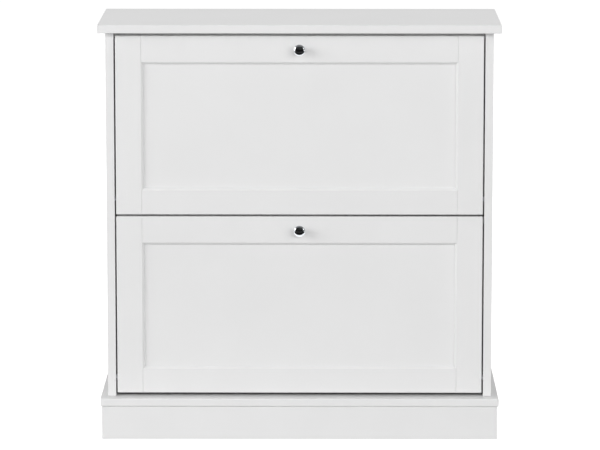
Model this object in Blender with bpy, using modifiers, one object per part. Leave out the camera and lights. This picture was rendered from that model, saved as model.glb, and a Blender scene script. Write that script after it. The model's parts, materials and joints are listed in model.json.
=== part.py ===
# A shoe cabinet with two tilt-out flaps, modelled piece by piece in metres.
# +Z is up, the flaps face -Y, and the origin is on the floor under the middle of the cabinet.
# Each flap is a coped frame with a loose panel. It turns on two pins near its lower edge and
# carries a tray with two sloping shoe rows between a pair of side cheeks.

import math

import bmesh
import bpy
from mathutils import Matrix, Vector

# Overall size
CABINET_WIDTH = 0.880
CABINET_DEPTH = 0.350
CABINET_HEIGHT = 0.920

# Carcass boards
BOARD = 0.018
SHELF_BOARD = 0.016
BACK_THICKNESS = 0.003
SHELF_DROP = 0.008  # from the upper flap's lower edge down to the divider's top
SIDE_OVERHANG = 0.016
FRONT_OVERHANG = 0.029
PLINTH_HEIGHT = 0.074
PLINTH_INSET = 0.003
STOP_RAIL_DEPTH = 0.060
BACK_RAIL_HEIGHT = 0.060
BACK_SIDE_MARGIN = 0.002
STRIP_THICKNESS = 0.001
STRIP_WIDTH = 0.018
STRIP_WEB = 0.002

# Gaps round the flaps
SIDE_GAP = 0.0032
TOP_GAP = 0.008
MIDDLE_GAP = 0.0042
BOTTOM_GAP = 0.0075

# Flap frame
FLAP_THICKNESS = 0.018
STILE_WIDTH = 0.061
TOP_RAIL_WIDTH = 0.063
BOTTOM_RAIL_WIDTH = 0.059
FRAME_BEVEL = 0.005
FRAME_ROUNDING = 0.002
PANEL_RECESS = 0.008
PANEL_THICKNESS = 0.006
GROOVE_DEPTH = 0.007

# Knob and its screw
KNOB_DROP = 0.0295
KNOB_DIAMETER = 0.025
KNOB_LENGTH = 0.025
KNOB_DOME = 0.004
KNOB_RIM = 0.002
KNOB_FOOT_DIAMETER = 0.015
KNOB_FOOT_EDGE = 0.001
KNOB_NECK_DIAMETER = 0.009
KNOB_NECK_HEIGHT = 0.006
SCREW_DIAMETER = 0.004
SCREW_REACH = 0.009
SCREW_END_GAP = 0.002
SCREW_HEAD_DIAMETER = 0.009
SCREW_HEAD_HEIGHT = 0.0024
SCREW_HEAD_ROUNDING = 0.0008

# Pivots and stops
PIVOT_HEIGHT = 0.035
PIN_DIAMETER = 0.006
PIN_DEPTH = 0.012
PIN_END_GAP = 0.002  # between a pin's nose and the end of its bore
PIN_CHAMFER = 0.0006
COLLAR_DIAMETER = 0.013
BUSH_WALL = 0.0015
OPEN_ANGLE = math.radians(40)
STOP_RADIUS = 0.080
STOP_ANGLE = math.radians(55)
STOP_DIAMETER = 0.008
STOP_END_GAP = 0.001  # from a stop pin's nose to the cheek's inner face
SLOT_PLAY = 0.0005
BUMPER_THICKNESS = 0.0022
BUMPER_DIAMETER = 0.008
BUMPER_ROUNDING = 0.001
BUMPER_MARGIN = 0.0005  # from an upper bumper to the stop rail's lower edge
BUMPER_SPACING = 0.600

# Shoe tray
CHEEK_THICKNESS = 0.009
CHEEK_GAP = 0.0035
CHEEK_DROP = 0.030
CHEEK_ROUNDING = 0.012
TRAY_BOARD = 0.010
SOLE_LENGTH = 0.200
TOE_HEIGHT = 0.065
ROW_SPACING = 0.135
TRAY_MARGIN = 0.006
SWEEP_CLEARANCE = 0.004
BACK_CLEARANCE = 0.006

# Wall fixings
BRACKET_WIDTH = 0.020
BRACKET_LEG = 0.040
BRACKET_FOOT = 0.030
BRACKET_THICKNESS = 0.002
BRACKET_HOLE = 0.005
BRACKET_SPACING = 0.560

# Fits
SEAT = 0.0003  # between pieces that rest on each other
RUNNING = 0.0003  # between a pin and its bush

# Facets
PIN_STEPS = 16
KNOB_STEPS = 32
CROWN_STEPS = 6
ARC_STEPS = 4
SLOT_STEPS = 10
PAST = 0.002  # how far a cutter runs past what it cuts
WELD = 0.00001  # points closer than this become one

# Derived places
HALF_WIDTH = CABINET_WIDTH / 2
BOARD_FRONT = -CABINET_DEPTH / 2
BOARD_BACK = CABINET_DEPTH / 2
BASE_TOP = PLINTH_HEIGHT + BOARD
TOP_UNDERSIDE = CABINET_HEIGHT - BOARD
SIDE_OUTER = HALF_WIDTH - SIDE_OVERHANG
SIDE_INNER = SIDE_OUTER - BOARD
FLAP_FRONT = BOARD_FRONT + FRONT_OVERHANG
FLAP_BACK = FLAP_FRONT + FLAP_THICKNESS
FLAP_HALF = SIDE_INNER - SIDE_GAP
FLAP_HEIGHT = (TOP_UNDERSIDE - BASE_TOP - BOTTOM_GAP - MIDDLE_GAP - TOP_GAP) / 2
LOWER_FLAP_BOTTOM = BASE_TOP + BOTTOM_GAP
UPPER_FLAP_BOTTOM = LOWER_FLAP_BOTTOM + FLAP_HEIGHT + MIDDLE_GAP
PIVOT_Y = FLAP_FRONT + FLAP_THICKNESS / 2
BACK_OUTER = BOARD_BACK - SEAT - STRIP_THICKNESS - SEAT
BACK_INNER = BACK_OUTER - BACK_THICKNESS
CARCASS_BACK = BACK_INNER - SEAT
SHELF_TOP = UPPER_FLAP_BOTTOM - SHELF_DROP
SHELF_BOTTOM = SHELF_TOP - SHELF_BOARD
STOP_FRONT = FLAP_BACK + BUMPER_THICKNESS + 2 * SEAT
STOP_RAIL_BOTTOM = TOP_UNDERSIDE - SEAT - BOARD
BACK_RAIL_FRONT = CARCASS_BACK - BOARD
PLINTH_FRONT = BOARD_FRONT + PLINTH_INSET
PLINTH_BACK = BOARD_BACK - PLINTH_INSET
PLINTH_HALF = HALF_WIDTH - PLINTH_INSET
PLINTH_TOP = PLINTH_HEIGHT - SEAT
CHEEK_OUTER = SIDE_INNER - CHEEK_GAP
CHEEK_INNER = CHEEK_OUTER - CHEEK_THICKNESS
CHEEK_FRONT = FLAP_THICKNESS / 2 + SEAT
CHEEK_BACK = BACK_INNER - BACK_CLEARANCE - PIVOT_Y
CHEEK_RADIUS = SHELF_BOTTOM - SWEEP_CLEARANCE - LOWER_FLAP_BOTTOM - PIVOT_HEIGHT
PIN_RADIUS = PIN_DIAMETER / 2
BUSH_INNER = PIN_RADIUS + RUNNING
BUSH_OUTER = BUSH_INNER + BUSH_WALL
GROOVE_FRONT = PANEL_RECESS - SEAT
GROOVE_BACK = PANEL_RECESS + PANEL_THICKNESS + SEAT

X_AXIS = Vector((1, 0, 0))
Y_AXIS = Vector((0, 1, 0))
Z_AXIS = Vector((0, 0, 1))


def remove_objects():
    for obj in list(bpy.data.objects):
        bpy.data.objects.remove(obj, do_unlink=True)


def make_collection(name):
    collection = bpy.data.collections.new(name)
    bpy.context.scene.collection.children.link(collection)
    return collection


def make_finish(name, colour, roughness, metallic=0.0):
    material = bpy.data.materials.new(name)
    material.use_nodes = True
    shader = material.node_tree.nodes["Principled BSDF"]
    shader.inputs["Base Color"].default_value = (*colour, 1.0)
    shader.inputs["Roughness"].default_value = roughness
    shader.inputs["Metallic"].default_value = metallic
    return material


remove_objects()
PARTS = make_collection("shoe_cabinet")
CUTTERS = make_collection("cutters")
CUTTERS.hide_render = True
WHITE_LACQUER = make_finish("white_lacquer", (0.84, 0.84, 0.84), 0.42)
WHITE_FOIL = make_finish("white_foil", (0.80, 0.80, 0.80), 0.50)
WHITE_HARDBOARD = make_finish("white_hardboard", (0.76, 0.76, 0.75), 0.60)
WHITE_PLASTIC = make_finish("white_plastic", (0.78, 0.78, 0.78), 0.40)
CHROME = make_finish("polished_chrome", (0.80, 0.80, 0.81), 0.08, 1.0)
ZINC_STEEL = make_finish("zinc_plated_steel", (0.66, 0.67, 0.68), 0.32, 1.0)
NYLON = make_finish("nylon", (0.72, 0.72, 0.70), 0.45)
RUBBER = make_finish("clear_rubber", (0.62, 0.62, 0.62), 0.55)


def add_part(name, data, finish, carrier=None):
    """Adds one piece. A piece that turns with a flap is parented to that flap's empty."""
    obj = bpy.data.objects.new(name, data)
    PARTS.objects.link(obj)
    obj.data.materials.clear()
    obj.data.materials.append(finish)
    if carrier:
        obj.parent = carrier
        obj.matrix_parent_inverse = Matrix.Translation(-carrier.location)
    return obj


def add_cutter(name, data):
    obj = bpy.data.objects.new(name, data)
    CUTTERS.objects.link(obj)
    obj.hide_render = True
    obj.display_type = "WIRE"
    return obj


def cut(obj, cutter):
    modifier = obj.modifiers.new(cutter.name, "BOOLEAN")
    modifier.operation = "DIFFERENCE"
    modifier.solver = "EXACT"
    modifier.object = cutter


def box_mesh(name, size):
    mesh = bpy.data.meshes.new(name)
    shape = bmesh.new()
    bmesh.ops.create_cube(shape, size=1, matrix=Matrix.Diagonal((*size, 1)))
    shape.to_mesh(mesh)
    shape.free()
    return mesh


def add_box(name, low, high, finish, carrier=None):
    low, high = Vector(low), Vector(high)
    obj = add_part(name, box_mesh(name, high - low), finish, carrier)
    obj.location = (low + high) / 2
    return obj


def cylinder_mesh(name, radius, depth, steps):
    mesh = bpy.data.meshes.new(name)
    shape = bmesh.new()
    bmesh.ops.create_cone(
        shape, cap_ends=True, segments=steps, radius1=radius, radius2=radius, depth=depth
    )
    shape.to_mesh(mesh)
    shape.free()
    return mesh


def turn_to(axis):
    """The rotation that lays local +Z along a world axis."""
    return Vector(axis).to_track_quat("Z", "Y").to_euler()


def hole_cutter(name, radius, start, end, steps=PIN_STEPS):
    start, end = Vector(start), Vector(end)
    cutter = add_cutter(name, cylinder_mesh(name, radius, (end - start).length, steps))
    cutter.location = (start + end) / 2
    cutter.rotation_euler = turn_to(end - start)
    return cutter


def add_turned(name, profile, steps, place, axis, finish, carrier=None, ring=False):
    """Turns a profile of (radius, height) points, listed down its outer side, about an axis."""
    mesh = bpy.data.meshes.new(name)
    edges = [(i, i + 1) for i in range(len(profile) - 1)]
    if ring:
        edges.append((len(profile) - 1, 0))
    mesh.from_pydata([(radius, 0, height) for radius, height in profile], edges, [])
    obj = add_part(name, mesh, finish, carrier)
    obj.location = place
    obj.rotation_euler = turn_to(axis)
    screw = obj.modifiers.new("turned", "SCREW")
    screw.axis = "Z"
    screw.angle = 2 * math.pi
    screw.steps = steps
    screw.render_steps = steps
    screw.use_merge_vertices = True
    screw.merge_threshold = WELD
    screw.use_smooth_shade = True
    return obj


def outline_mesh(name, loops, thickness):
    """A flat outline, with any holes as further loops, made solid about its own plane."""
    curve = bpy.data.curves.new(name, "CURVE")
    curve.dimensions = "2D"
    curve.fill_mode = "BOTH"
    curve.extrude = thickness / 2
    for loop in loops:
        spline = curve.splines.new("POLY")
        spline.points.add(len(loop) - 1)
        for point, (x, y) in zip(spline.points, loop):
            point.co = (x, y, 0, 1)
        spline.use_cyclic_u = True
    holder = bpy.data.objects.new(name, curve)
    bpy.context.scene.collection.objects.link(holder)
    depsgraph = bpy.context.evaluated_depsgraph_get()
    mesh = bpy.data.meshes.new_from_object(holder.evaluated_get(depsgraph))
    bpy.data.objects.remove(holder, do_unlink=True)
    bpy.data.curves.remove(curve)
    shape = bmesh.new()
    shape.from_mesh(mesh)
    bmesh.ops.remove_doubles(shape, verts=shape.verts, dist=WELD)
    shape.to_mesh(mesh)
    shape.free()
    return mesh


def stand_outline(obj, place, across, along):
    """Stands an outline so that its x runs across and its y along, centred on a place."""
    across, along = Vector(across), Vector(along)
    turn = Matrix((across, along, across.cross(along))).transposed()
    obj.location = place
    obj.rotation_euler = turn.to_euler()


def add_outline(name, loops, thickness, place, across, along, finish, carrier=None):
    obj = add_part(name, outline_mesh(name, loops, thickness), finish, carrier)
    stand_outline(obj, place, across, along)
    return obj


def rounded(points, radii):
    """The points of a closed outline with an arc of the given radius at each corner."""
    found = []
    for i, (point, radius) in enumerate(zip(points, radii)):
        corner = Vector(point)
        if radius == 0:
            found.append(tuple(corner))
            continue
        before = (Vector(points[i - 1]) - corner).normalized()
        after = (Vector(points[(i + 1) % len(points)]) - corner).normalized()
        half = before.angle(after) / 2
        centre = corner + (before + after).normalized() * radius / math.sin(half)
        start = corner + before * radius / math.tan(half) - centre
        end = corner + after * radius / math.tan(half) - centre
        sweep = start.angle_signed(end)
        for step in range(ARC_STEPS + 1):
            turn = Matrix.Rotation(-sweep * step / ARC_STEPS, 2)
            found.append(tuple(centre + turn @ start))
    return found


def arc(radius, first, last, steps):
    return [
        (
            radius * math.cos(first + (last - first) * step / steps),
            radius * math.sin(first + (last - first) * step / steps),
        )
        for step in range(steps + 1)
    ]


def add_carcass():
    for side, name in ((-1, "left"), (1, "right")):
        xs = sorted((side * SIDE_OUTER, side * SIDE_INNER))
        add_box(
            f"side_panel_{name}",
            (xs[0], FLAP_FRONT, BASE_TOP + SEAT),
            (xs[1], CARCASS_BACK, TOP_UNDERSIDE - SEAT),
            WHITE_LACQUER,
        )
    add_box(
        "top_board",
        (-HALF_WIDTH, BOARD_FRONT, TOP_UNDERSIDE),
        (HALF_WIDTH, BOARD_BACK, CABINET_HEIGHT),
        WHITE_LACQUER,
    )
    add_box(
        "base_board",
        (-HALF_WIDTH, BOARD_FRONT, PLINTH_HEIGHT),
        (HALF_WIDTH, BOARD_BACK, BASE_TOP),
        WHITE_LACQUER,
    )
    inner = SIDE_INNER - SEAT
    add_box(
        "divider_shelf",
        (-inner, STOP_FRONT, SHELF_BOTTOM),
        (inner, CARCASS_BACK, SHELF_TOP),
        WHITE_FOIL,
    )
    add_box(
        "top_stop_rail",
        (-inner, STOP_FRONT, STOP_RAIL_BOTTOM),
        (inner, STOP_FRONT + STOP_RAIL_DEPTH, TOP_UNDERSIDE - SEAT),
        WHITE_FOIL,
    )
    add_box(
        "top_back_rail",
        (-inner, BACK_RAIL_FRONT, TOP_UNDERSIDE - SEAT - BACK_RAIL_HEIGHT),
        (inner, CARCASS_BACK, TOP_UNDERSIDE - SEAT),
        WHITE_FOIL,
    )


def add_plinth():
    inner = PLINTH_HALF - BOARD
    behind = PLINTH_FRONT + BOARD + SEAT
    add_box(
        "plinth_front",
        (-PLINTH_HALF, PLINTH_FRONT, 0),
        (PLINTH_HALF, PLINTH_FRONT + BOARD, PLINTH_TOP),
        WHITE_LACQUER,
    )
    for side, name in ((-1, "left"), (1, "right")):
        xs = sorted((side * PLINTH_HALF, side * inner))
        add_box(
            f"plinth_{name}",
            (xs[0], behind, 0),
            (xs[1], PLINTH_BACK, PLINTH_TOP),
            WHITE_LACQUER,
        )
    add_box(
        "plinth_rear",
        (-inner + SEAT, PLINTH_BACK - BOARD, 0),
        (inner - SEAT, PLINTH_BACK, PLINTH_TOP),
        WHITE_FOIL,
    )
    add_box(
        "plinth_brace",
        (-BOARD / 2, behind, 0),
        (BOARD / 2, PLINTH_BACK - BOARD - SEAT, PLINTH_TOP),
        WHITE_FOIL,
    )


def add_back():
    half = SIDE_OUTER - BACK_SIDE_MARGIN
    joint = (SHELF_TOP + SHELF_BOTTOM) / 2
    web = STRIP_WEB / 2 + SEAT
    add_box(
        "back_panel_lower",
        (-half, BACK_INNER, BASE_TOP + SEAT),
        (half, BACK_OUTER, joint - web),
        WHITE_HARDBOARD,
    )
    add_box(
        "back_panel_upper",
        (-half, BACK_INNER, joint + web),
        (half, BACK_OUTER, TOP_UNDERSIDE - SEAT),
        WHITE_HARDBOARD,
    )
    flange = STRIP_WIDTH / 2
    depth = STRIP_THICKNESS + SEAT + BACK_THICKNESS
    # A T section: its web lies between the two panels and its flange covers the joint.
    section = [
        (0, -flange),
        (0, flange),
        (-STRIP_THICKNESS, flange),
        (-STRIP_THICKNESS, STRIP_WEB / 2),
        (-depth, STRIP_WEB / 2),
        (-depth, -STRIP_WEB / 2),
        (-STRIP_THICKNESS, -STRIP_WEB / 2),
        (-STRIP_THICKNESS, -flange),
    ]
    add_outline(
        "back_joint_strip",
        [section],
        2 * half,
        (0, BOARD_BACK - SEAT, joint),
        Y_AXIS,
        Z_AXIS,
        WHITE_PLASTIC,
    )


def add_wall_brackets():
    foot = BRACKET_FOOT
    thick = BRACKET_THICKNESS
    # An L section: its foot lies under the top board and its leg against the back rail.
    section = [
        (0, 0),
        (-foot, 0),
        (-foot, -thick),
        (-thick, -thick),
        (-thick, -BRACKET_LEG),
        (0, -BRACKET_LEG),
    ]
    back = BACK_RAIL_FRONT - SEAT
    top = TOP_UNDERSIDE - 2 * SEAT
    for side, name in ((-1, "left"), (1, "right")):
        x = side * BRACKET_SPACING / 2
        bracket = add_outline(
            f"wall_bracket_{name}", [section], BRACKET_WIDTH, (x, back, top), Y_AXIS, Z_AXIS, ZINC_STEEL
        )
        y = back - foot / 2 - thick / 2
        z = top - BRACKET_LEG / 2 - thick / 2
        radius = BRACKET_HOLE / 2
        foot_start = (x, y, top - thick - PAST)
        foot_end = (x, y, top + PAST)
        cut(bracket, hole_cutter(f"foot_hole_{name}", radius, foot_start, foot_end))
        leg_start = (x, back - thick - PAST, z)
        leg_end = (x, back + PAST, z)
        cut(bracket, hole_cutter(f"leg_hole_{name}", radius, leg_start, leg_end))


def add_bumper(name, x, z):
    thickness = BUMPER_THICKNESS
    radius = BUMPER_DIAMETER / 2
    profile = [
        (0, thickness),
        (radius - BUMPER_ROUNDING, thickness),
        (radius, thickness - BUMPER_ROUNDING),
        (radius, 0),
        (0, 0),
    ]
    add_turned(name, profile, PIN_STEPS, (x, STOP_FRONT - SEAT, z), -Y_AXIS, RUBBER)


def add_bumpers():
    for side, name in ((-1, "left"), (1, "right")):
        x = side * BUMPER_SPACING / 2
        add_bumper(f"bumper_lower_{name}", x, (SHELF_TOP + SHELF_BOTTOM) / 2)
        add_bumper(f"bumper_upper_{name}", x, STOP_RAIL_BOTTOM + BUMPER_DIAMETER / 2 + BUMPER_MARGIN)


def stick_outline(width):
    """The frame's moulding: a rounded outer edge, a bevelled inner edge and a panel groove."""
    thick = FLAP_THICKNESS
    points = [
        (0, 0),
        (width - FRAME_BEVEL, 0),
        (width, FRAME_BEVEL),
        (width, GROOVE_FRONT),
        (width - GROOVE_DEPTH, GROOVE_FRONT),
        (width - GROOVE_DEPTH, GROOVE_BACK),
        (width, GROOVE_BACK),
        (width, thick),
        (0, thick),
    ]
    return rounded(points, [FRAME_ROUNDING] + [0] * (len(points) - 1))


def cope_outline():
    """What is cut from a rail's end so that it fits over a stile's inner edge."""
    width = STILE_WIDTH
    inner = width + SEAT
    tip = width - GROOVE_DEPTH - PAST
    return [
        (-PAST, -PAST),
        (inner - FRAME_BEVEL - PAST, -PAST),
        (inner, FRAME_BEVEL),
        (inner, GROOVE_FRONT + SEAT),
        (tip, GROOVE_FRONT + SEAT),
        (tip, GROOVE_BACK - SEAT),
        (inner, GROOVE_BACK - SEAT),
        (inner, FLAP_THICKNESS + PAST),
        (-PAST, FLAP_THICKNESS + PAST),
    ]


def add_frame(prefix, bottom, carrier):
    """The flap's front: two stiles, two rails coped between them and a loose panel."""
    top = bottom + FLAP_HEIGHT
    middle = (top + bottom) / 2
    opening = FLAP_HALF - STILE_WIDTH
    tenon_tip = opening + GROOVE_DEPTH - SEAT
    for side, name in ((-1, "left"), (1, "right")):
        stile = add_outline(
            f"{prefix}_stile_{name}",
            [stick_outline(STILE_WIDTH)],
            FLAP_HEIGHT,
            (side * FLAP_HALF, FLAP_FRONT, middle),
            -side * X_AXIS,
            Y_AXIS,
            WHITE_LACQUER,
            carrier,
        )
        pivot = Vector((side * FLAP_HALF, PIVOT_Y, bottom + PIVOT_HEIGHT))
        bore = hole_cutter(
            f"{prefix}_bush_bore_{name}",
            BUSH_OUTER + SEAT,
            pivot - side * X_AXIS * (PIN_DEPTH + PAST),
            pivot + side * X_AXIS * PAST,
        )
        cut(stile, bore)
    rails = (("top", TOP_RAIL_WIDTH, top, -Z_AXIS), ("bottom", BOTTOM_RAIL_WIDTH, bottom, Z_AXIS))
    for name, width, edge, inward in rails:
        rail = add_outline(
            f"{prefix}_rail_{name}",
            [stick_outline(width)],
            2 * tenon_tip,
            (0, FLAP_FRONT, edge),
            inward,
            Y_AXIS,
            WHITE_LACQUER,
            carrier,
        )
        for side, end in ((-1, "left"), (1, "right")):
            cutter_name = f"{prefix}_{name}_cope_{end}"
            cutter = add_cutter(cutter_name, outline_mesh(cutter_name, [cope_outline()], width + 4 * PAST))
            place = (side * FLAP_HALF, FLAP_FRONT, edge + inward.z * width / 2)
            stand_outline(cutter, place, -side * X_AXIS, Y_AXIS)
            cut(rail, cutter)
        if name == "top":
            z = top - KNOB_DROP
            start = (0, FLAP_FRONT - PAST, z)
            end = (0, FLAP_BACK + PAST, z)
            cut(rail, hole_cutter(f"{prefix}_screw_hole", SCREW_DIAMETER / 2 + SEAT, start, end))
    add_box(
        f"{prefix}_panel",
        (-tenon_tip, FLAP_FRONT + PANEL_RECESS, bottom + BOTTOM_RAIL_WIDTH - GROOVE_DEPTH + SEAT),
        (
            tenon_tip,
            FLAP_FRONT + PANEL_RECESS + PANEL_THICKNESS,
            top - TOP_RAIL_WIDTH + GROOVE_DEPTH - SEAT,
        ),
        WHITE_LACQUER,
        carrier,
    )


def add_knob(prefix, bottom, carrier):
    """A turned mushroom knob, drilled from its foot for the screw that holds it."""
    head = KNOB_DIAMETER / 2
    foot = KNOB_FOOT_DIAMETER / 2
    neck = KNOB_NECK_DIAMETER / 2
    hole = SCREW_DIAMETER / 2 + SEAT
    rim = KNOB_LENGTH - KNOB_DOME
    crown = [
        (head * math.sin(angle), rim + KNOB_DOME * math.cos(angle))
        for angle in (math.pi / 2 * step / CROWN_STEPS for step in range(CROWN_STEPS + 1))
    ]
    # Under the crown the rim tapers a little, the head runs in to the neck and the neck to the foot.
    profile = crown + [
        (head * 0.98, rim - KNOB_RIM),
        (head * 0.80, rim - 2 * KNOB_RIM),
        (neck * 1.15, 1.5 * KNOB_NECK_HEIGHT),
        (neck, KNOB_NECK_HEIGHT),
        (foot * 0.80, 2 * KNOB_FOOT_EDGE),
        (foot, KNOB_FOOT_EDGE),
        (foot, 0),
        (hole, 0),
        (hole, SCREW_REACH),
        (0, SCREW_REACH),
    ]
    z = bottom + FLAP_HEIGHT - KNOB_DROP
    place = (0, FLAP_FRONT - SEAT, z)
    add_turned(f"{prefix}_knob", profile, KNOB_STEPS, place, -Y_AXIS, CHROME, carrier)
    shank = SCREW_DIAMETER / 2
    screw_head = SCREW_HEAD_DIAMETER / 2
    seat = -FLAP_THICKNESS - SEAT
    tip = SCREW_REACH - SCREW_END_GAP
    back = seat - SCREW_HEAD_HEIGHT
    screw = [
        (0, tip),
        (shank, tip - shank / 2),
        (shank, seat),
        (screw_head, seat),
        (screw_head, back + SCREW_HEAD_ROUNDING),
        (screw_head - SCREW_HEAD_ROUNDING, back),
        (0, back),
    ]
    place = (0, FLAP_FRONT, z)
    add_turned(f"{prefix}_knob_screw", screw, PIN_STEPS, place, -Y_AXIS, ZINC_STEEL, carrier)


def add_pivots(prefix, bottom, carrier):
    """Steel pins fixed in the side panels turn in nylon bushes let into the stiles' edges."""
    for side, name in ((-1, "left"), (1, "right")):
        panel = bpy.data.objects[f"side_panel_{name}"]
        face = Vector((side * SIDE_INNER, PIVOT_Y, bottom + PIVOT_HEIGHT))
        collar = COLLAR_DIAMETER / 2
        # Heights run from the panel's inner face towards the flap.
        tip = SIDE_GAP + PIN_DEPTH - PIN_END_GAP
        pin = [
            (0, tip),
            (PIN_RADIUS - PIN_CHAMFER, tip),
            (PIN_RADIUS, tip - PIN_CHAMFER),
            (PIN_RADIUS, SIDE_GAP - SEAT),
            (collar, SIDE_GAP - SEAT),
            (collar, SEAT),
            (PIN_RADIUS, SEAT),
            (PIN_RADIUS, SEAT - PIN_DEPTH),
            (0, SEAT - PIN_DEPTH),
        ]
        inward = -side * X_AXIS
        add_turned(f"{prefix}_pivot_pin_{name}", pin, PIN_STEPS, face, inward, ZINC_STEEL)
        start = face - inward * PIN_DEPTH
        end = face + inward * PAST
        cut(panel, hole_cutter(f"{prefix}_pivot_hole_{name}", PIN_RADIUS + SEAT, start, end))
        bush = [
            (BUSH_OUTER, -SEAT),
            (BUSH_OUTER, -PIN_DEPTH),
            (BUSH_INNER, -PIN_DEPTH),
            (BUSH_INNER, -SEAT),
        ]
        edge = (side * FLAP_HALF, PIVOT_Y, bottom + PIVOT_HEIGHT)
        add_turned(f"{prefix}_bush_{name}", bush, PIN_STEPS, edge, -inward, NYLON, carrier, ring=True)


def stop_place(side, bottom):
    return Vector(
        (
            side * SIDE_INNER,
            PIVOT_Y + STOP_RADIUS * math.cos(STOP_ANGLE),
            bottom + PIVOT_HEIGHT + STOP_RADIUS * math.sin(STOP_ANGLE),
        )
    )


def add_stop_pins(prefix, bottom):
    """Pins in the side panels that run in the cheeks' slots and end the flap's travel."""
    for side, name in ((-1, "left"), (1, "right")):
        panel = bpy.data.objects[f"side_panel_{name}"]
        face = stop_place(side, bottom)
        nose = STOP_DIAMETER / 2
        collar = COLLAR_DIAMETER / 2
        tip = CHEEK_GAP + CHEEK_THICKNESS - STOP_END_GAP
        profile = [
            (0, tip),
            (nose - PIN_CHAMFER, tip),
            (nose, tip - PIN_CHAMFER),
            (nose, CHEEK_GAP - SEAT),
            (collar, CHEEK_GAP - SEAT),
            (collar, SEAT),
            (PIN_RADIUS, SEAT),
            (PIN_RADIUS, SEAT - PIN_DEPTH),
            (0, SEAT - PIN_DEPTH),
        ]
        inward = -side * X_AXIS
        add_turned(f"{prefix}_stop_pin_{name}", profile, PIN_STEPS, face, inward, ZINC_STEEL)
        start = face - inward * PIN_DEPTH
        end = face + inward * PAST
        cut(panel, hole_cutter(f"{prefix}_stop_hole_{name}", PIN_RADIUS + SEAT, start, end))


def slot_outline():
    """An arc slot about the pivot, as long as the flap's travel, with round ends."""
    half = STOP_DIAMETER / 2 + SLOT_PLAY
    play = SLOT_PLAY / STOP_RADIUS
    first = STOP_ANGLE - OPEN_ANGLE - play
    last = STOP_ANGLE + play
    outer = arc(STOP_RADIUS + half, first, last, SLOT_STEPS)
    inner = arc(STOP_RADIUS - half, last, first, SLOT_STEPS)

    def end(angle, start):
        centre = Vector((math.cos(angle), math.sin(angle))) * STOP_RADIUS
        points = arc(half, start, start + math.pi, 2 * ARC_STEPS)[1:-1]
        return [tuple(centre + Vector(point)) for point in points]

    return outer + end(last, last) + inner + end(first, first + math.pi)


def cheek_outline():
    """A quarter-round cheek about the pivot: x runs to the back and y runs up."""
    radius = CHEEK_RADIUS
    first = math.acos(CHEEK_BACK / radius)
    last = math.acos(CHEEK_FRONT / radius)
    corners = [(CHEEK_FRONT, -CHEEK_DROP), (CHEEK_BACK, -CHEEK_DROP)]
    curve = arc(radius, first, last, 2 * SLOT_STEPS)
    points = corners + curve
    radii = [0, CHEEK_ROUNDING] + [0] * len(curve)
    return rounded(points, radii)


def add_tray(prefix, bottom, carrier):
    """Two cheeks behind the stiles with a lower and an upper shoe row between them."""
    pivot = Vector((0, PIVOT_Y, bottom + PIVOT_HEIGHT))
    for side, name in ((-1, "left"), (1, "right")):
        middle = side * (CHEEK_INNER + CHEEK_OUTER) / 2
        add_outline(
            f"{prefix}_cheek_{name}",
            [cheek_outline(), slot_outline()],
            CHEEK_THICKNESS,
            pivot + X_AXIS * middle,
            Y_AXIS,
            Z_AXIS,
            WHITE_FOIL,
            carrier,
        )
    # The rows slope by the flap's travel, so they are level when it is open.
    slope = OPEN_ANGLE
    down_back = Vector((0, math.cos(slope), -math.sin(slope)))
    up_back = Vector((0, math.sin(slope), math.cos(slope)))
    length = 2 * (CHEEK_INNER - SEAT)
    toe_reach = (TRAY_BOARD + SEAT) * math.cos(slope) + TOE_HEIGHT * math.sin(slope)
    low_reach = TRAY_BOARD * math.cos(slope) + TRAY_BOARD * math.sin(slope)
    first_heel = Vector(
        (
            0,
            CHEEK_BACK - TRAY_MARGIN - toe_reach,
            -CHEEK_DROP + TRAY_MARGIN + low_reach,
        )
    )
    for row, name in enumerate(("lower", "upper")):
        heel = pivot + first_heel + Z_AXIS * ROW_SPACING * row
        sole = add_part(
            f"{prefix}_sole_board_{name}",
            box_mesh(f"{prefix}_sole_board_{name}", (length, SOLE_LENGTH, TRAY_BOARD)),
            WHITE_FOIL,
            carrier,
        )
        sole.location = heel - down_back * SOLE_LENGTH / 2 - up_back * TRAY_BOARD / 2
        sole.rotation_euler = (-slope, 0, 0)
        toe_size = (length, TRAY_BOARD, TRAY_BOARD + TOE_HEIGHT)
        toe = add_part(
            f"{prefix}_toe_board_{name}",
            box_mesh(f"{prefix}_toe_board_{name}", toe_size),
            WHITE_FOIL,
            carrier,
        )
        toe.location = heel + down_back * (SEAT + TRAY_BOARD / 2) + up_back * (TOE_HEIGHT - TRAY_BOARD) / 2
        toe.rotation_euler = (-slope, 0, 0)


def add_flap(prefix, bottom):
    carrier = bpy.data.objects.new(f"{prefix}_pivot", None)
    carrier.location = (0, PIVOT_Y, bottom + PIVOT_HEIGHT)
    PARTS.objects.link(carrier)
    add_frame(prefix, bottom, carrier)
    add_knob(prefix, bottom, carrier)
    add_tray(prefix, bottom, carrier)
    add_pivots(prefix, bottom, carrier)
    add_stop_pins(prefix, bottom)


add_carcass()
add_plinth()
add_back()
add_wall_brackets()
add_bumpers()
add_flap("lower", LOWER_FLAP_BOTTOM)
add_flap("upper", UPPER_FLAP_BOTTOM)
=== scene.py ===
import json
import math

import bmesh
import bpy
from mathutils import Matrix, Vector, noise


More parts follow.
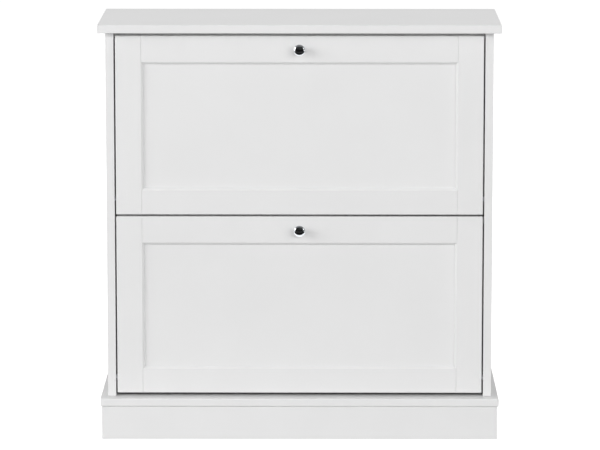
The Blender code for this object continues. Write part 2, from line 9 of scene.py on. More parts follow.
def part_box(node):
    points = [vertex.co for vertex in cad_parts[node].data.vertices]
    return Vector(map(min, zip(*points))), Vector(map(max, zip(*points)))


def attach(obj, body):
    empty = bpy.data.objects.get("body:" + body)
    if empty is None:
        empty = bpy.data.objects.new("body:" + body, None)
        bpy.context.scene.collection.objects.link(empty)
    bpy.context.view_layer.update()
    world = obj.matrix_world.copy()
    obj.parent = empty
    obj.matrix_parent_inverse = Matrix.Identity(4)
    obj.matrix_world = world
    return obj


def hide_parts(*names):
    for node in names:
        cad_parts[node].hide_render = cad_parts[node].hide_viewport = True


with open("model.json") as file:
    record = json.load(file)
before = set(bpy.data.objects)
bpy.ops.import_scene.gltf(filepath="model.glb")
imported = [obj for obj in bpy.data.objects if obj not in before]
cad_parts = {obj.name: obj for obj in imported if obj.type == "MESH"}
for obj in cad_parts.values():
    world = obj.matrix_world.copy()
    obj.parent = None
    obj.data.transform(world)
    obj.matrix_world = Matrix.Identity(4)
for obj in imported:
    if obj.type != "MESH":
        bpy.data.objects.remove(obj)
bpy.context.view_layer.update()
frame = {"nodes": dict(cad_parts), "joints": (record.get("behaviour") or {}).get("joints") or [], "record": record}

record = frame["record"]
bodyOf = {node: body for body, nodes in record["behaviour"]["bodies"].items() for node in nodes}
slotOf = {row["node"]: row["material_slot"] for row in record["subparts"]}
hingeOf = {joint["child"]: joint for joint in frame["joints"]}
mm = 0.001
xAxis, yAxis, zAxis = Vector((1, 0, 0)), Vector((0, 1, 0)), Vector((0, 0, 1))
sides = {"left": -1, "right": 1}  # each side's sign along X
flaps = ("lower", "upper")
cabinet = bpy.data.collections.new("shoeCabinet")
studio = bpy.data.collections.new("studio")
for collection in (cabinet, studio):
    bpy.context.scene.collection.children.link(collection)
print("frame loaded:", len(frame["nodes"]), "nodes")


# Colours and shader nodes

def hexColour(text):
    # an sRGB hex colour turned to the linear one that shaders work in
    parts = [int(text[i:i + 2], 16) / 255 for i in (1, 3, 5)]
    linear = [part / 12.92 if part <= 0.04045 else ((part + 0.055) / 1.055) ** 2.4 for part in parts]
    return (*linear, 1)


def addNode(tree, kind, settings=None, inputs=None, feeds=None):
    # an input is a plain value or another node's output; feeds are the sockets an output leads to
    node = tree.nodes.new(kind)
    for name, value in (settings or {}).items():
        setattr(node, name, value)
    for name, value in (inputs or {}).items():
        if isinstance(value, bpy.types.NodeSocket):
            tree.links.new(value, node.inputs[name])
        else:
            node.inputs[name].default_value = value
    for name, socket in (feeds or {}).items():
        tree.links.new(node.outputs[name], socket)
    return node


def startMaterial(name):
    # a clean tree with the surface's own coordinates, in metres, and its shader
    material = bpy.data.materials.new(name)
    material.use_nodes = True
    tree = material.node_tree
    tree.nodes.clear()
    place = addNode(tree, "ShaderNodeTexCoord").outputs["Object"]
    shader = addNode(tree, "ShaderNodeBsdfPrincipled")
    addNode(tree, "ShaderNodeOutputMaterial", inputs={"Surface": shader.outputs["BSDF"]})
    return material, tree, place, shader


def colourStops(ramp, stops):
    # a ramp's colours, from pairs of a position and a hex colour
    elements = ramp.color_ramp.elements
    while len(elements) < len(stops):
        elements.new(1.0)
    for element, (position, colour) in zip(elements, stops):
        element.position = position
        element.color = hexColour(colour)


wander = (0.3, 0.7)  # the part of a pattern over which a surface goes from one tone to the other


def varySurface(tree, shader, tone, gloss, values):
    # the colour wanders between two near tones with one pattern, the roughness with another
    ramp = addNode(tree, "ShaderNodeValToRGB", inputs={"Fac": tone},
                   feeds={"Color": shader.inputs["Base Color"]})
    colourStops(ramp, list(zip(wander, values["colours"])))
    low, high = values["roughness"]
    addNode(tree, "ShaderNodeMapRange", inputs={"Value": gloss, "To Min": low, "To Max": high},
            feeds={"Result": shader.inputs["Roughness"]})


# Satin lacquer sprayed on board: the film flows out nearly flat, so the eye gets a soft, broad
# sheen with a trace of orange peel, and the white wanders by less than one step.
satinLacquer = {
    "colours": ("#EDEDED", "#EBEBEB"),
    "cloud": 160 * mm,        # drift of the white from one spray pass to the next
    "peel": 2.6 * mm,         # distance between the peel's crests
    "peelHeight": 0.012 * mm,
    "grit": 0.5 * mm,         # fibres standing under the film, drawn four times as coarse as they are
    "gritShare": 0.12,        # of the peel's height
    "roughness": (0.42, 0.50),
    "ior": 1.50,
}


def makeSatinLacquer(name, values):
    material, tree, place, shader = startMaterial(name)
    cloud = addNode(tree, "ShaderNodeTexNoise", inputs={
        "Vector": place, "Scale": 1 / values["cloud"], "Detail": 2.0})
    peel = addNode(tree, "ShaderNodeTexNoise", inputs={
        "Vector": place, "Scale": 1 / values["peel"], "Detail": 1.0})
    grit = addNode(tree, "ShaderNodeTexNoise", inputs={
        "Vector": place, "Scale": 1 / values["grit"], "Detail": 2.0})
    varySurface(tree, shader, cloud.outputs[0], grit.outputs[0], values)
    height = addNode(tree, "ShaderNodeMath", {"operation": "MULTIPLY_ADD"}, {
        0: grit.outputs[0], 1: values["gritShare"], 2: peel.outputs[0]})
    addNode(tree, "ShaderNodeBump", inputs={
        "Height": height.outputs[0], "Distance": values["peelHeight"], "Strength": 1.0},
            feeds={"Normal": shader.inputs["Normal"]})
    shader.inputs["IOR"].default_value = values["ior"]
    return material


# Melamine foil pressed on chipboard: a pearl-embossed steel plate leaves fine flat-topped
# pebbles, which scatter the light, so the inner boards look matter and a little greyer.
pearlFoil = {
    "colours": ("#E9E9E8", "#E6E6E5"),
    "cloud": 240 * mm,
    "pebble": 0.9 * mm,       # real pebbles are about 0.4 mm, drawn twice as coarse to show at all
    "pebbleHeight": 0.03 * mm,
    "roughness": (0.46, 0.56),
    "ior": 1.52,
}


def makePearlFoil(name, values):
    material, tree, place, shader = startMaterial(name)
    cloud = addNode(tree, "ShaderNodeTexNoise", inputs={
        "Vector": place, "Scale": 1 / values["cloud"], "Detail": 3.0})
    pebble = addNode(tree, "ShaderNodeTexVoronoi", {"feature": "SMOOTH_F1"}, {
        "Vector": place, "Scale": 1 / values["pebble"], "Smoothness": 0.6})
    varySurface(tree, shader, cloud.outputs[0], pebble.outputs["Distance"], values)
    addNode(tree, "ShaderNodeBump", {"invert": True}, {
        "Height": pebble.outputs["Distance"], "Distance": values["pebbleHeight"], "Strength": 1.0},
            feeds={"Normal": shader.inputs["Normal"]})
    shader.inputs["IOR"].default_value = values["ior"]
    return material


# Hardboard, wet-pressed and painted on its inner face only: smooth and white inside, and outside
# the bare brown fibre mat with the imprint of the wire screen it was pressed on.
pressedHardboard = {
    "paintStops": ((0.0, "#E4E4E2"), (1.0, "#E0E0DE")),
    "fibreStops": ((0.16, "#6F5033"), (0.25, "#8F6B45"), (0.36, "#B08E66")),
    "cloud": 167 * mm,        # drift of the paint
    "tangle": 21 * mm,        # distance between the bends of the fibres
    "tangleBend": 0.02,
    "fibreLength": 7 * mm,
    "fibreWidth": 0.9 * mm,   # real fibres are about 0.1 mm wide, drawn coarser to show
    "screenPitch": 1.6 * mm,
    "screenHeight": 0.08 * mm,
    "paintRoughness": 0.55,
    "fibreRoughness": 0.85,
    "ior": 1.45,
}


def makePressedHardboard(name, values):
    material, tree, place, shader = startMaterial(name)
    tangle = addNode(tree, "ShaderNodeTexNoise", inputs={
        "Vector": place, "Scale": 1 / values["tangle"], "Detail": 2.0})
    warp = addNode(tree, "ShaderNodeMixRGB", {"blend_type": "ADD"}, {
        "Fac": values["tangleBend"], "Color1": place, "Color2": tangle.outputs["Color"]})
    along = addNode(tree, "ShaderNodeMapping", inputs={
        "Vector": warp.outputs["Color"],
        "Scale": (1 / values["fibreLength"], 1 / values["fibreLength"], 1 / values["fibreWidth"])})
    across = addNode(tree, "ShaderNodeMapping", inputs={
        "Vector": warp.outputs["Color"],
        "Scale": (1 / values["fibreWidth"], 1 / values["fibreLength"], 1 / values["fibreLength"])})
    strands = [addNode(tree, "ShaderNodeTexNoise", inputs={
        "Vector": line.outputs["Vector"], "Scale": 1.0, "Detail": 3.0}) for line in (along, across)]
    mat = addNode(tree, "ShaderNodeMath", {"operation": "MULTIPLY"}, {
        0: strands[0].outputs[0], 1: strands[1].outputs[0]})
    bare = addNode(tree, "ShaderNodeValToRGB", inputs={"Fac": mat.outputs[0]})
    colourStops(bare, values["fibreStops"])
    cloud = addNode(tree, "ShaderNodeTexNoise", inputs={
        "Vector": place, "Scale": 1 / values["cloud"], "Detail": 2.0})
    paint = addNode(tree, "ShaderNodeValToRGB", inputs={"Fac": cloud.outputs[0]})
    colourStops(paint, values["paintStops"])
    # every face that doesn't look forward, along -Y, is bare
    facing = addNode(tree, "ShaderNodeTexCoord").outputs["Normal"]
    parts = addNode(tree, "ShaderNodeSeparateXYZ", inputs={"Vector": facing})
    outer = addNode(tree, "ShaderNodeMath", {"operation": "GREATER_THAN"}, {0: parts.outputs["Y"], 1: -0.5})
    addNode(tree, "ShaderNodeMixRGB", inputs={
        "Fac": outer.outputs[0], "Color1": paint.outputs["Color"], "Color2": bare.outputs["Color"]},
            feeds={"Color": shader.inputs["Base Color"]})
    addNode(tree, "ShaderNodeMapRange", inputs={
        "Value": outer.outputs[0], "To Min": values["paintRoughness"], "To Max": values["fibreRoughness"]},
            feeds={"Result": shader.inputs["Roughness"]})
    screen = addNode(tree, "ShaderNodeTexVoronoi", {"distance": "CHEBYCHEV"}, {
        "Vector": place, "Scale": 1 / values["screenPitch"], "Randomness": 0.15})
    relief = addNode(tree, "ShaderNodeMath", {"operation": "MULTIPLY"}, {
        0: screen.outputs["Distance"], 1: outer.outputs[0]})
    addNode(tree, "ShaderNodeBump", inputs={
        "Height": relief.outputs[0], "Distance": values["screenHeight"], "Strength": 1.0},
            feeds={"Normal": shader.inputs["Normal"]})
    shader.inputs["IOR"].default_value = values["ior"]
    return material


# White plastic, extruded or moulded: an even, slightly waxy white with a trace of flow in its gloss.
whitePlastic = {
    "colours": ("#E3E3E1", "#DDDDDB"),
    "flow": 9 * mm,
    "flowHeight": 0.01 * mm,
    "roughness": (0.32, 0.44),
    "ior": 1.53,
    "glow": 0.0,
    "glowDepth": 2 * mm,
}
# Nylon 6, moulded and left natural: a creamy, milky white that lets some light into its edges.
naturalNylon = {
    "colours": ("#E2DFD4", "#D9D5C8"),
    "flow": 4 * mm,
    "flowHeight": 0.01 * mm,
    "roughness": (0.38, 0.50),
    "ior": 1.53,
    "glow": 0.25,
    "glowDepth": 2 * mm,
}


def makePlastic(name, values):
    material, tree, place, shader = startMaterial(name)
    flow = addNode(tree, "ShaderNodeTexNoise", inputs={
        "Vector": place, "Scale": 1 / values["flow"], "Detail": 3.0, "Distortion": 0.8})
    varySurface(tree, shader, flow.outputs[0], flow.outputs[0], values)
    addNode(tree, "ShaderNodeBump", inputs={
        "Height": flow.outputs[0], "Distance": values["flowHeight"], "Strength": 1.0},
            feeds={"Normal": shader.inputs["Normal"]})
    shader.inputs["IOR"].default_value = values["ior"]
    shader.inputs["Subsurface Weight"].default_value = values["glow"]
    shader.inputs["Subsurface Scale"].default_value = values["glowDepth"]
    return material


# Polished chrome over a zinc casting: nearly a mirror, a touch blue, with the faint haze that
# the buffing wheel leaves round the knob.
polishedChrome = {
    "colours": ("#D9DCDF", "#D2D5D9"),
    "haze": 3 * mm,
    "buffing": 0.35 * mm,     # real buffing lines are far finer, drawn coarser to soften a glint
    "buffingHeight": 0.0015 * mm,
    "roughness": (0.05, 0.10),
}
# Bright zinc plate on steel: a soft grey metal with a cool passivated bloom.
zincPlate = {
    "colours": ("#B9BDC2", "#A9ADB0"),
    "haze": 5 * mm,
    "buffing": 0.5 * mm,
    "buffingHeight": 0.006 * mm,
    "roughness": (0.26, 0.40),
}


def makeMetal(name, values):
    material, tree, place, shader = startMaterial(name)
    haze = addNode(tree, "ShaderNodeTexNoise", inputs={
        "Vector": place, "Scale": 1 / values["haze"], "Detail": 3.0})
    varySurface(tree, shader, haze.outputs[0], haze.outputs[0], values)
    buffing = addNode(tree, "ShaderNodeTexNoise", inputs={
        "Vector": place, "Scale": 1 / values["buffing"], "Detail": 2.0})
    addNode(tree, "ShaderNodeBump", inputs={
        "Height": buffing.outputs[0], "Distance": values["buffingHeight"], "Strength": 1.0},
            feeds={"Normal": shader.inputs["Normal"]})
    shader.inputs["Metallic"].default_value = 1.0
    return material


# Cast clear polyurethane: a soft, water-white dome, a little cloudy, dusted matt by handling.
clearUrethane = {
    "colours": ("#DEDEDC", "#D2D2D0"),
    "bloom": 1.5 * mm,
    "roughness": (0.18, 0.34),
    "ior": 1.50,
    "clear": 0.55,
}


def makeClearUrethane(name, values):
    material, tree, place, shader = startMaterial(name)
    bloom = addNode(tree, "ShaderNodeTexNoise", inputs={
        "Vector": place, "Scale": 1 / values["bloom"], "Detail": 2.0})
    varySurface(tree, shader, bloom.outputs[0], bloom.outputs[0], values)
    shader.inputs["IOR"].default_value = values["ior"]
    shader.inputs["Transmission Weight"].default_value = values["clear"]
    return material


finishes = {
    "white_lacquer": makeSatinLacquer("satinLacquer", satinLacquer),
    "white_foil": makePearlFoil("pearlFoil", pearlFoil),
    "white_hardboard": makePressedHardboard("pressedHardboard", pressedHardboard),
    "white_plastic": makePlastic("whitePlastic", whitePlastic),
    "chrome": makeMetal("polishedChrome", polishedChrome),
    "zinc_steel": makeMetal("zincPlate", zincPlate),
    "nylon": makePlastic("naturalNylon", naturalNylon),
    "rubber": makeClearUrethane("clearUrethane", clearUrethane),
}
print("finishes made:", len(finishes))


# Shapes
# Points closer than a weld become one. Facets that meet at less than the flat angle are one face,
# and edges sharper than the sharp angle, both in degrees, are rounded.
meshCare = {"weld": 0.01 * mm, "turnedWeld": 0.001 * mm, "flat": 0.5, "sharp": 35}


def meshFrom(shape, name):
    bmesh.ops.recalc_face_normals(shape, faces=shape.faces)
    mesh = bpy.data.meshes.new(name)
    shape.to_mesh(mesh)
    shape.free()
    mesh.polygons.foreach_set("use_smooth", [True] * len(mesh.polygons))
    return mesh


def arcPoints(centre, radius, first, last, steps):
    angles = [first + (last - first) * step / steps for step in range(steps + 1)]
    return [(centre[0] + radius * math.cos(a), centre[1] + radius * math.sin(a)) for a in angles]


def roundCorners(points, radii, steps=6):
    # a closed outline with an arc at each corner that has a radius
    found = []
    for i, (point, radius) in enumerate(zip(points, radii)):
        corner = Vector(point)
        if not radius:
            found.append(tuple(corner))
            continue
        before = (Vector(points[i - 1]) - corner).normalized()
        after = (Vector(points[(i + 1) % len(points)]) - corner).normalized()
        half = before.angle(after) / 2
        centre = corner + (before + after).normalized() * radius / math.sin(half)
        start = corner + before * radius / math.tan(half) - centre
        end = corner + after * radius / math.tan(half) - centre
        sweep = start.angle_signed(end)
        turns = [Matrix.Rotation(-sweep * step / steps, 2) for step in range(steps + 1)]
        found += [tuple(centre + turn @ start) for turn in turns]
    return found


def prism(outline, axis, low, high):
    # an outline of the other two axes' coordinates, made solid from low to high along an axis
    shape = bmesh.new()
    rings = []
    for along in (low, high):
        spots = [list(point) for point in outline]
        for spot in spots:
            spot.insert(axis, along)
        rings.append([shape.verts.new(spot) for spot in spots])
        shape.faces.new(rings[-1])
    for i in range(len(outline)):
        shape.faces.new((rings[0][i - 1], rings[0][i], rings[1][i], rings[1][i - 1]))
    return meshFrom(shape, "prism")


def combine(mesh, others, operation):
    # one solid mesh cut by, or kept inside, others
    holder = bpy.data.objects.new("holder", mesh)
    tools = [bpy.data.objects.new("tool", other) for other in others]
    for item in [holder] + tools:
        studio.objects.link(item)
    for tool in tools:
        modifier = holder.modifiers.new("combine", "BOOLEAN")
        modifier.operation = operation
        modifier.solver = "EXACT"
        modifier.object = tool
    depsgraph = bpy.context.evaluated_depsgraph_get()
    result = bpy.data.meshes.new_from_object(holder.evaluated_get(depsgraph))
    for item in [holder] + tools:
        bpy.data.objects.remove(item)
    return result


def eased(mesh, radius, segments):
    # welds, merges flat facets and rounds every sharp edge
    shape = bmesh.new()
    shape.from_mesh(mesh)
    bmesh.ops.remove_doubles(shape, verts=shape.verts, dist=meshCare["weld"])
    bmesh.ops.dissolve_limit(
        shape, angle_limit=math.radians(meshCare["flat"]), verts=shape.verts, edges=shape.edges,
        use_dissolve_boundaries=False)
    sharp = math.radians(meshCare["sharp"])
    edges = [edge for edge in shape.edges if edge.calc_face_angle(0) > sharp]
    bmesh.ops.bevel(
        shape, geom=edges, offset=radius, offset_type="OFFSET", segments=segments, profile=0.5,
        affect="EDGES", clamp_overlap=True)
    return meshFrom(shape, mesh.name)


def turned(profile, place, axis, steps=48, ring=False):
    # a profile of radius and height, turned about an axis through a place
    shape = bmesh.new()
    line = [shape.verts.new((radius, 0, height)) for radius, height in profile]
    pairs = list(zip(line, line[1:])) + ([(line[-1], line[0])] if ring else [])
    edges = [shape.edges.new(pair) for pair in pairs]
    bmesh.ops.spin(shape, geom=line + edges, angle=2 * math.pi, steps=steps, axis=zAxis, cent=(0, 0, 0))
    bmesh.ops.remove_doubles(shape, verts=shape.verts, dist=meshCare["turnedWeld"])
    stand = Matrix.Translation(place) @ axis.to_track_quat("Z", "Y").to_matrix().to_4x4()
    bmesh.ops.transform(shape, matrix=stand, verts=shape.verts)
    return meshFrom(shape, "turned")


def flowing(points, steps=6):
    # a smooth line through a few points, by Catmull and Rom's rule
    line = [Vector(point) for point in points]
    line = [2 * line[0] - line[1]] + line + [2 * line[-1] - line[-2]]
    found = []
    for a, b, c, d in zip(line, line[1:], line[2:], line[3:]):
        for step in range(steps):
            t = step / steps
            found.append(tuple(
                0.5 * (2 * b + (c - a) * t + (2 * a - 5 * b + 4 * c - d) * t * t
                       + (3 * b - a - 3 * c + d) * t ** 3)))
    return found + [tuple(line[-2])]


def copies(mesh, stands):
    # the same mesh standing in many places, as one
    shape = bmesh.new()
    for stand in stands:
        before = len(shape.verts)
        shape.from_mesh(mesh)
        shape.verts.ensure_lookup_table()
        bmesh.ops.transform(shape, matrix=stand, verts=shape.verts[before:])
    return meshFrom(shape, mesh.name)


def standing(place, axis, spin=0.0):
    # local +Z along an axis, turned about it by a number of degrees
    turn = axis.to_track_quat("Z", "Y").to_matrix().to_4x4()
    return Matrix.Translation(place) @ turn @ Matrix.Rotation(math.radians(spin), 4, "Z")


def addPiece(name, mesh, nodes=(), body=None, slot=None, crease=50):
    # a piece takes its body and finish from the nodes it stands for, unless they are given
    mesh.name = name
    mesh.materials.clear()
    slot = slot or slotOf[nodes[0]]
    mesh.materials.append(finishes[slot])
    mesh.set_sharp_from_angle(angle=math.radians(crease))
    piece = bpy.data.objects.new(name, mesh)
    cabinet.objects.link(piece)
    flat = piece.modifiers.new("flatFacesStayFlat", "WEIGHTED_NORMAL")
    flat.keep_sharp = True
    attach(piece, body or bodyOf[nodes[0]])
    if nodes:
        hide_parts(*nodes)
    return piece


def pieceName(node):
    first, *rest = node.split("_")
    return first + "".join(word.capitalize() for word in rest)


def reachOf(node, sign):
    # how far a node's near and far faces are from the cabinet's middle, towards one side
    low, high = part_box(node)
    return (low.x, high.x) if sign > 0 else (-high.x, -low.x)


# Boards
# Each board keeps its CAD size. Only its edges are worked: sawn and lacquered edges are eased by
# about a millimetre, foil edges stay crisper, and the base board's edge is properly rounded.
boardEdges = {
    "top_board": 1.2 * mm, "base_board": 3.0 * mm,
    "side_panel_left": 0.8 * mm, "side_panel_right": 0.8 * mm,
    "plinth_front": 1.0 * mm, "plinth_left": 1.0 * mm, "plinth_right": 1.0 * mm,
    "plinth_rear": 0.5 * mm, "plinth_brace": 0.5 * mm, "divider_shelf": 0.5 * mm,
    "top_stop_rail": 0.5 * mm, "top_back_rail": 0.5 * mm,
    "back_panel_lower": 0.3 * mm, "back_panel_upper": 0.3 * mm, "back_joint_strip": 0.3 * mm,
    "wall_bracket_left": 0.3 * mm, "wall_bracket_right": 0.3 * mm,
}
trayEdges = {"sole_board": 0.8 * mm, "toe_board": 0.8 * mm}
panelEdge = 0.2 * mm


def nodeMesh(node):
    return frame["nodes"][node].data.copy()


def addBoards():
    for node, radius in boardEdges.items():
        addPiece(pieceName(node), eased(nodeMesh(node), radius, segments=4), [node])
    for flap in flaps:
        for board, radius in trayEdges.items():
            for row in flaps:
                node = f"{flap}_{board}_{row}"
                addPiece(pieceName(node), eased(nodeMesh(node), radius, segments=3), [node])
        node = f"{flap}_panel"
        addPiece(pieceName(node), eased(nodeMesh(node), panelEdge, segments=2), [node])


addBoards()
print("boards made")


# Flap frames
# Stiles and rails are moulded sticks, coped together. The outer edge is rounded all round the
# flap, the inner edge has a 45 degree bevel, and each coped joint shows as a hairline.
frameStick = {
    "bevel": 5.0 * mm,
    "edgeRounding": 2.2 * mm,
    "cornerRounding": 2.4 * mm,
    "jointEasing": 0.5 * mm,
    "seat": 0.3 * mm,         # the gap that the CAD pieces keep
    "copeGap": 0.7 * mm,      # the open line where a rail meets a stile's bevel
    "screwHole": 2.3 * mm,
    "boreRelief": 2 * mm,     # how much deeper than its bush a bore is
    "cut": 5 * mm,            # how far a cutting shape runs past the stick
    "steps": 8,
}


def stickOutline(width, front, thick, grooveFront, grooveBack, grooveDepth, outer, inward):
    # across and depth: a rounded outer edge, a bevelled inner edge and the panel's groove
    bevel = frameStick["bevel"]
    points = [
        (0, 0), (width - bevel, 0), (width, bevel), (width, grooveFront),
        (width - grooveDepth, grooveFront), (width - grooveDepth, grooveBack), (width, grooveBack),
        (width, thick), (0, thick),
    ]
    radii = [frameStick["edgeRounding"]] + [0] * (len(points) - 1)
    line = roundCorners(points, radii, frameStick["steps"])
    return [(outer + inward * across, front + depth) for across, depth in line]


def swapped(outline):
    return [(b, a) for a, b in outline]


def addFrame(flap):
    seat, copeGap = frameStick["seat"], frameStick["copeGap"]
    bevel = frameStick["bevel"]
    panelLow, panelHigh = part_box(f"{flap}_panel")
    low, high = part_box(f"{flap}_stile_left")[0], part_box(f"{flap}_stile_right")[1]
    front, thick = low.y, high.y - low.y
    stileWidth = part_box(f"{flap}_stile_left")[1].x - low.x
    opening = high.x - stileWidth
    grooveDepth = panelHigh.x - opening + seat
    groove = (panelLow.y - front - seat, panelHigh.y - front + seat, grooveDepth)
    over, steps = frameStick["cut"], frameStick["steps"]
    rounding = frameStick["edgeRounding"]
    ends = roundCorners(
        [(front, low.z), (front, high.z), (high.y, high.z), (high.y, low.z)],
        [rounding, rounding, 0, 0], steps)
    corner = frameStick["cornerRounding"]
    face = roundCorners(
        [(low.x, low.z), (low.x, high.z), (high.x, high.z), (high.x, low.z)], [corner] * 4, steps)
    endShape = prism(ends, 0, low.x - over, high.x + over)
    faceShape = prism(face, 1, front - over, high.y + over)
    for side, sign in sides.items():
        node = f"{flap}_stile_{side}"
        outline = stickOutline(stileWidth, front, thick, *groove, sign * high.x, -sign)
        stick = prism(outline, 2, low.z - over, high.z + over)
        bushLow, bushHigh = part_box(f"{flap}_bush_{side}")
        middle = (bushLow + bushHigh) / 2
        bore = (bushHigh.z - bushLow.z) / 2 + seat
        depth = bushHigh.x - bushLow.x + frameStick["boreRelief"]
        hole = turned(
            [(0, depth), (bore, depth), (bore, -depth), (0, -depth)],
            Vector((sign * high.x, middle.y, middle.z)), xAxis, steps=48)
        stile = combine(stick, [endShape.copy(), faceShape.copy()], "INTERSECT")
        stile = combine(stile, [hole], "DIFFERENCE")
        addPiece(pieceName(node), eased(stile, frameStick["jointEasing"], segments=2), [node], crease=30)
    for name, inward in (("top", -1), ("bottom", 1)):
        node = f"{flap}_rail_{name}"
        railLow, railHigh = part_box(node)
        width = railHigh.z - railLow.z
        outer = railHigh.z if inward < 0 else railLow.z
        outline = stickOutline(width, front, thick, *groove, outer, inward)
        tip = railHigh.x
        stick = prism(swapped(outline), 0, -tip - over, tip + over)
        # the rail's end from front to back: over the bevel, square, a tongue, square
        shoulder = opening - copeGap
        half = [
            (shoulder + bevel + over, -over), (shoulder, bevel), (shoulder, groove[0] + seat),
            (tip, groove[0] + seat), (tip, groove[1] - seat), (shoulder, groove[1] - seat),
            (shoulder, thick + over),
        ]
        cope = [(x, front + depth) for x, depth in half]
        cope += [(-x, front + depth) for x, depth in reversed(half)]
        rail = combine(stick, [prism(cope, 2, railLow.z - over, railHigh.z + over)], "INTERSECT")
        if name == "top":
            knobLow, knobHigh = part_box(f"{flap}_knob")
            middle = (knobLow + knobHigh) / 2
            drill = frameStick["screwHole"]
            hole = turned(
                [(0, high.y + over), (drill, high.y + over), (drill, front - over), (0, front - over)],
                Vector((middle.x, 0, middle.z)), yAxis, steps=32)
            rail = combine(rail, [hole], "DIFFERENCE")
        addPiece(pieceName(node), eased(rail, frameStick["jointEasing"], segments=2), [node], crease=30)


for flap in flaps:
    addFrame(flap)
print("flap frames made")


# Screws
# Two cross-recess screws, one with a pan head and one with a low raised head.
panScrew = {"head": 7.0 * mm, "height": 2.2 * mm, "recess": 3.8 * mm, "recessDepth": 1.5 * mm}
raisedScrew = {"head": 7.5 * mm, "height": 0.9 * mm, "recess": 4.2 * mm, "recessDepth": 0.8 * mm}
# shares of the head's height and width, and of the recess's width
screwForm = {"foot": 0.45, "under": 0.97, "domeSteps": 8, "slot": 1 / 7, "floor": 0.55, "above": 1 * mm}


def crossRecess(width, depth):
    # a cross of two tapered slots, from just above the head down to its floor
    arm, half = width / 2, width * screwForm["slot"]
    plus = [(arm, -half), (arm, half), (half, half), (half, arm), (-half, arm), (-half, half),
            (-arm, half), (-arm, -half), (-half, -half), (-half, -arm), (half, -arm), (half, -half)]
    shape = bmesh.new()
    floor, above = screwForm["floor"], screwForm["above"]
    rings = [[shape.verts.new((x * grow, y * grow, z)) for x, y in plus]
             for grow, z in ((1 + (1 - floor) * above / depth, above), (floor, -depth))]
    for ring in rings:
        shape.faces.new(ring)
    for i in range(len(plus)):
        shape.faces.new((rings[0][i - 1], rings[0][i], rings[1][i], rings[1][i - 1]))
    return meshFrom(shape, "crossRecess")


def screwMesh(values, shank=0.0, shankRadius=0.0, steps=40):
    # the head sits on z = 0 and rises along +Z
    head, height = values["head"] / 2, values["height"]
    foot, domeSteps = screwForm["foot"], screwForm["domeSteps"]
    angles = [math.pi / 2 * step / domeSteps for step in range(1, domeSteps + 1)]
    profile = [(0, height)]
    profile += [(head * math.sin(a), height * (foot + (1 - foot) * math.cos(a))) for a in angles]
    profile += [(head * screwForm["under"], 0)]
    if shank:
        profile += [(shankRadius, 0), (shankRadius, -shank), (0, -shank - shankRadius)]
    else:
        profile += [(0, 0)]
    body = turned(profile, Vector(), zAxis, steps)
    recess = crossRecess(values["recess"], values["recessDepth"])
    recess.transform(Matrix.Translation((0, 0, height)))
    return combine(body, [recess], "DIFFERENCE")


# Knob
# A turned mushroom: a low domed crown, a rolled rim, a waisted neck and a small foot.
knob = {
    "dome": 0.30,             # the crown's rise, as a share of the radius
    "rim": 1.1 * mm,
    "crownInset": 0.35,       # of the rim
    "crownAngle": 70,
    "crownSteps": 20,
    "shoulder": (0.985, 0.86),  # shares of the radius and of the dome
    "roll": ((1.0, 0.5), (0.975, 1.5), (0.86, 3.0)),  # of the radius, and rims below the dome
    # shares of the radius and of the length, from under the rim to the foot
    "neck": ((0.62, 0.56), (0.4032, 0.42), (0.36, 0.28), (0.4032, 0.17),
             (0.516, 0.085), (0.588, 0.055), (0.60, 0.03)),
    "base": 0.591,
    "steps": 96,
    "hole": 9 * mm,           # the screw's hole into the knob
}
knobScrew = {"recess": 4.6 * mm, "shankRadius": 2 * mm, "point": 2 * mm, "spin": 20}


def knobProfile(radius, length):
    rim, steps = knob["rim"], knob["crownSteps"]
    dome = radius * knob["dome"]
    crownRadius = radius - rim * knob["crownInset"]
    angles = [math.radians(knob["crownAngle"]) * step / steps for step in range(steps + 1)]
    crown = [(crownRadius * math.sin(a), length - dome + dome * math.cos(a)) for a in angles]
    across, down = knob["shoulder"]
    points = [crown[-1], (radius * across, length - dome * down)]
    points += [(radius * across, length - dome - rim * down) for across, down in knob["roll"]]
    points += [(radius * across, length * up) for across, up in knob["neck"]]
    return crown[:-1] + flowing(points) + [(radius * knob["base"], 0)]


def addKnob(flap):
    low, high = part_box(f"{flap}_knob")
    middle = (low + high) / 2
    radius, length = (high.x - low.x) / 2, high.y - low.y
    drill, reach = frameStick["screwHole"], knob["hole"]
    profile = knobProfile(radius, length) + [(drill, 0), (drill, reach), (0, reach)]
    place = Vector((middle.x, high.y, middle.z))
    addPiece(pieceName(f"{flap}_knob"), turned(profile, place, -yAxis, knob["steps"]), [f"{flap}_knob"])
    node = f"{flap}_knob_screw"
    low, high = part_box(node)
    middle = (low + high) / 2
    height = panScrew["height"]
    values = dict(panScrew, head=high.x - low.x, recess=knobScrew["recess"])
    shank = high.y - low.y - height - knobScrew["point"]
    screw = screwMesh(values, shank, knobScrew["shankRadius"])
    screw.transform(standing(Vector((middle.x, high.y - height, middle.z)), yAxis, knobScrew["spin"]))
    addPiece(pieceName(node), screw, [node])


for flap in flaps:
    addKnob(flap)
print("knobs made")


# Pivots and stops
pivotFit = {
    "pinRadius": 3.0 * mm, "pinChamfer": 0.8 * mm, "collarEdge": 0.4 * mm,
    "collarSeat": 0.3 * mm,   # the gap that the CAD pieces keep on both sides of a collar
    "stopRadius": 4.0 * mm, "slotPlay": 0.5 * mm,
    "running": 0.3 * mm, "bushLip": 0.35 * mm,
}


